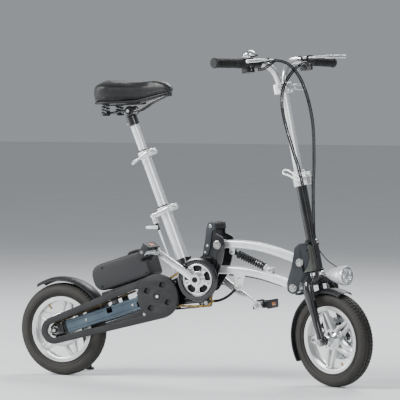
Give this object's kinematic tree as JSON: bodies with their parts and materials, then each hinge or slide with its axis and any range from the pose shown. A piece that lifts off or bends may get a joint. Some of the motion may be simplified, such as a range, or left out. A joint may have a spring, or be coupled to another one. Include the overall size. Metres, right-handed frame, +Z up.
{
  "type": "folding bicycle",
  "caption": "Small folding bicycle with battery case, arched twin-beam front linkage with shock, telescoping saddle and handlebar columns, chain guard and cast wheels.",
  "frame": {"origin": "on the ground under the middle of the bike's bounding box", "axes": "+X to the front, +Y to the rider's left, +Z up"},
  "size_m": [1.2846, 0.5531, 1.0921],
  "materials": {
    "black": "semi-gloss black",
    "blue_grey": "blue-grey anodised",
    "chain": "brassy steel",
    "graphite": "dark grey satin paint",
    "leather": "black leatherette",
    "lens": "clear",
    "plastic": "black moulded plastic",
    "polished": "polished aluminium",
    "rubber": "black rubber",
    "satin": "satin aluminium",
    "tyre": "black tyre rubber"
  },
  "bodies": {
    "chassis": {"chassis_frame": "black", "seat_tube": "satin", "carry_handle": "graphite", "carry_grip": "rubber", "front_chain": "chain"},
    "crank": {"crankset": "polished", "guard_ring": "black", "pedal_right_spindle": "satin", "pedal_left_spindle": "satin"},
    "pedal_right": {"pedal_right_cage": "plastic"},
    "pedal_left": {"pedal_left_cage": "plastic"},
    "jackshaft": {"jackshaft": "satin"},
    "chain_jockey": {"chain_jockey": "black"},
    "seat_mid": {"seat_tube_mid": "satin"},
    "seat_top": {"seat_post": "satin", "saddle_frame": "black", "saddle_base": "plastic", "saddle_cover": "leather"},
    "seat_lever_lower": {"seat_lever_lower": "polished"},
    "seat_lever_upper": {"seat_lever_upper": "polished"},
    "release_rod": {"release_rod": "satin"},
    "rear_arm": {"rear_arm": "blue_grey", "rear_axle": "black", "chain_guard": "plastic", "rear_chain": "chain", "rear_mudguard": "plastic", "battery_case": "graphite"},
    "rear_wheel": {"rear_tyre": "tyre", "rear_rim": "polished"},
    "rear_sprocket": {"rear_sprocket": "chain"},
    "kickstand": {"kickstand": "black"},
    "upper_beam": {"upper_beam": "satin"},
    "lower_beam": {"lower_beam": "satin"},
    "shock_body": {"shock_body": "black", "shock_spring": "black"},
    "shock_rod": {"shock_rod": "polished"},
    "head": {"head_bracket": "graphite"},
    "steering": {"fork": "black", "front_mudguard": "plastic", "headlight_shell": "satin", "headlight_lens": "lens", "column_lower": "black", "column_clamp": "satin", "cables": "rubber"},
    "front_wheel": {"front_tyre": "tyre", "front_rim": "polished", "front_rotor": "satin"},
    "column_lever": {"column_lever": "polished"},
    "handlebar": {"column_upper": "polished", "bar_right": "polished", "bar_left": "polished", "grip_right": "rubber", "grip_left": "rubber", "control_right": "plastic", "control_left": "plastic", "bell": "polished"},
    "bar_lever": {"bar_lever": "polished"},
    "throttle": {"throttle_grip": "rubber"},
    "brake_lever_right": {"brake_lever_right": "polished"},
    "brake_lever_left": {"brake_lever_left": "polished"}
  },
  "joints": [
    {"name": "crank_spin", "type": "hinge", "parent": "chassis", "child": "crank", "pos_m": [0.04168, -0.00464, 0.342], "axis": [0, 1, 0], "continuous": true},
    {"name": "pedal_right_spin", "type": "hinge", "parent": "crank", "child": "pedal_right", "pos_m": [-0.10089, -0.16465, 0.43459], "axis": [0, 1, 0], "continuous": true},
    {"name": "pedal_left_spin", "type": "hinge", "parent": "crank", "child": "pedal_left", "pos_m": [0.18425, 0.15535, 0.24941], "axis": [0, 1, 0], "continuous": true},
    {"name": "jackshaft_spin", "type": "hinge", "parent": "chassis", "child": "jackshaft", "pos_m": [-0.10132, -0.00464, 0.282], "axis": [0, 1, 0], "continuous": true},
    {"name": "jockey_spin", "type": "hinge", "parent": "chassis", "child": "chain_jockey", "pos_m": [0.07068, -0.00464, 0.266], "axis": [0, 1, 0], "continuous": true},
    {"name": "rear_sprocket_spin", "type": "hinge", "parent": "rear_arm", "child": "rear_sprocket", "pos_m": [-0.48632, -0.00464, 0.156], "axis": [0, 1, 0], "continuous": true},
    {"name": "rear_wheel_spin", "type": "hinge", "parent": "rear_arm", "child": "rear_wheel", "pos_m": [-0.48632, -0.00464, 0.156], "axis": [0, 1, 0], "continuous": true},
    {"name": "rear_arm_fold", "type": "hinge", "parent": "chassis", "child": "rear_arm", "pos_m": [-0.10132, -0.00464, 0.282], "axis": [0, -1, 0], "range_deg": [0, 70]},
    {"name": "kickstand_swing", "type": "hinge", "parent": "rear_arm", "child": "kickstand", "pos_m": [-0.45632, 0.06535, 0.182], "axis": [0, 0.9352, 0.354], "range_deg": [0, 86]},
    {"name": "seat_mid_slide", "type": "slide", "parent": "chassis", "child": "seat_mid", "axis": [-0.3727, 0, 0.928], "range_m": [-0.13, 0.06]},
    {"name": "seat_post_slide", "type": "slide", "parent": "seat_mid", "child": "seat_top", "axis": [-0.3727, 0, 0.928], "range_m": [-0.075, 0.05]},
    {"name": "seat_lever_lower_turn", "type": "hinge", "parent": "chassis", "child": "seat_lever_lower", "pos_m": [-0.07865, -0.00464, 0.57645], "axis": [0, 1, 0], "range_deg": [0, 100]},
    {"name": "seat_lever_upper_turn", "type": "hinge", "parent": "seat_mid", "child": "seat_lever_upper", "pos_m": [-0.15522, -0.00464, 0.75907], "axis": [0, 1, 0], "range_deg": [0, 100]},
    {"name": "release_rod_pull", "type": "slide", "parent": "chassis", "child": "release_rod", "axis": [-0.3727, 0, 0.928], "range_m": [0, 0.008], "stiffness_N_per_m": 3000, "springref_m": -0.004},
    {"name": "upper_beam_swing", "type": "hinge", "parent": "chassis", "child": "upper_beam", "pos_m": [0.09568, -0.00464, 0.455], "axis": [0, -1, 0], "range_deg": [0, 12], "stiffness_Nm_per_rad": 400, "springref_deg": -14.32},
    {"name": "lower_beam_swing", "type": "hinge", "parent": "chassis", "child": "lower_beam", "pos_m": [0.07268, -0.00464, 0.371], "axis": [0, -1, 0], "range_deg": [0, 12]},
    {"name": "head_level", "type": "hinge", "parent": "upper_beam", "child": "head", "pos_m": [0.38768, -0.00464, 0.4045], "axis": [0, -1, 0], "range_deg": [-12, 0]},
    {"name": "shock_pivot", "type": "hinge", "parent": "upper_beam", "child": "shock_body", "pos_m": [0.13638, -0.00464, 0.431], "axis": [0, -1, 0], "range_deg": [-0.4, 0]},
    {"name": "shock_slide", "type": "slide", "parent": "shock_body", "child": "shock_rod", "axis": [-0.9234, 0, 0.3839], "range_m": [0, 0.0183], "deforming": ["shock_spring"]},
    {"name": "steer", "type": "hinge", "parent": "head", "child": "steering", "pos_m": [0.42291, -0.00464, 0.42067], "axis": [-0.1977, 0, 0.9803], "range_deg": [-10, 50]},
    {"name": "front_wheel_spin", "type": "hinge", "parent": "steering", "child": "front_wheel", "pos_m": [0.49353, -0.0108, 0.15601], "axis": [0.3353, 0.9397, 0.0676], "continuous": true},
    {"name": "column_slide", "type": "slide", "parent": "steering", "child": "handlebar", "axis": [-0.1977, 0, 0.9803], "range_m": [-0.055, 0.07], "deforming": ["cables"]},
    {"name": "column_lever_turn", "type": "hinge", "parent": "steering", "child": "column_lever", "pos_m": [0.40159, -0.01559, 0.67855], "axis": [0.3353, 0.9397, 0.0676], "range_deg": [0, 90]},
    {"name": "bar_lever_turn", "type": "hinge", "parent": "handlebar", "child": "bar_lever", "pos_m": [0.33729, -0.01388, 0.97366], "axis": [0.3353, 0.9397, 0.0676], "range_deg": [0, 80]},
    {"name": "throttle_twist", "type": "hinge", "parent": "handlebar", "child": "throttle", "pos_m": [0.22806, -0.16126, 1.0493], "axis": [-0.406, -0.9138, 0.0094], "range_deg": [0, 70], "stiffness_Nm_per_rad": 0.2, "springref_deg": -17.19},
    {"name": "brake_right_squeeze", "type": "hinge", "parent": "handlebar", "child": "brake_lever_right", "pos_m": [0.29392, -0.0982, 1.05913], "axis": [0.1977, 0, -0.9803], "range_deg": [0, 14], "stiffness_Nm_per_rad": 1.5, "springref_deg": -11.46},
    {"name": "brake_left_squeeze", "type": "hinge", "parent": "handlebar", "child": "brake_lever_left", "pos_m": [0.36379, 0.10175, 1.06918], "axis": [-0.1977, 0, 0.9803], "range_deg": [0, 14], "stiffness_Nm_per_rad": 1.5, "springref_deg": -11.46}
  ],
  "couplings": [
    {"joint": "jackshaft_spin", "follows": "crank_spin", "ratio": 1.8333},
    {"joint": "jockey_spin", "follows": "crank_spin", "ratio": 4.5833},
    {"joint": "rear_sprocket_spin", "follows": "crank_spin", "ratio": 3.5091},
    {"joint": "lower_beam_swing", "follows": "upper_beam_swing", "ratio": 1},
    {"joint": "head_level", "follows": "upper_beam_swing", "ratio": -1},
    {"joint": "shock_pivot", "follows": "upper_beam_swing", "ratio": -0.03},
    {"joint": "shock_slide", "follows": "upper_beam_swing", "m_per_rad": 0.0869}
  ]
}
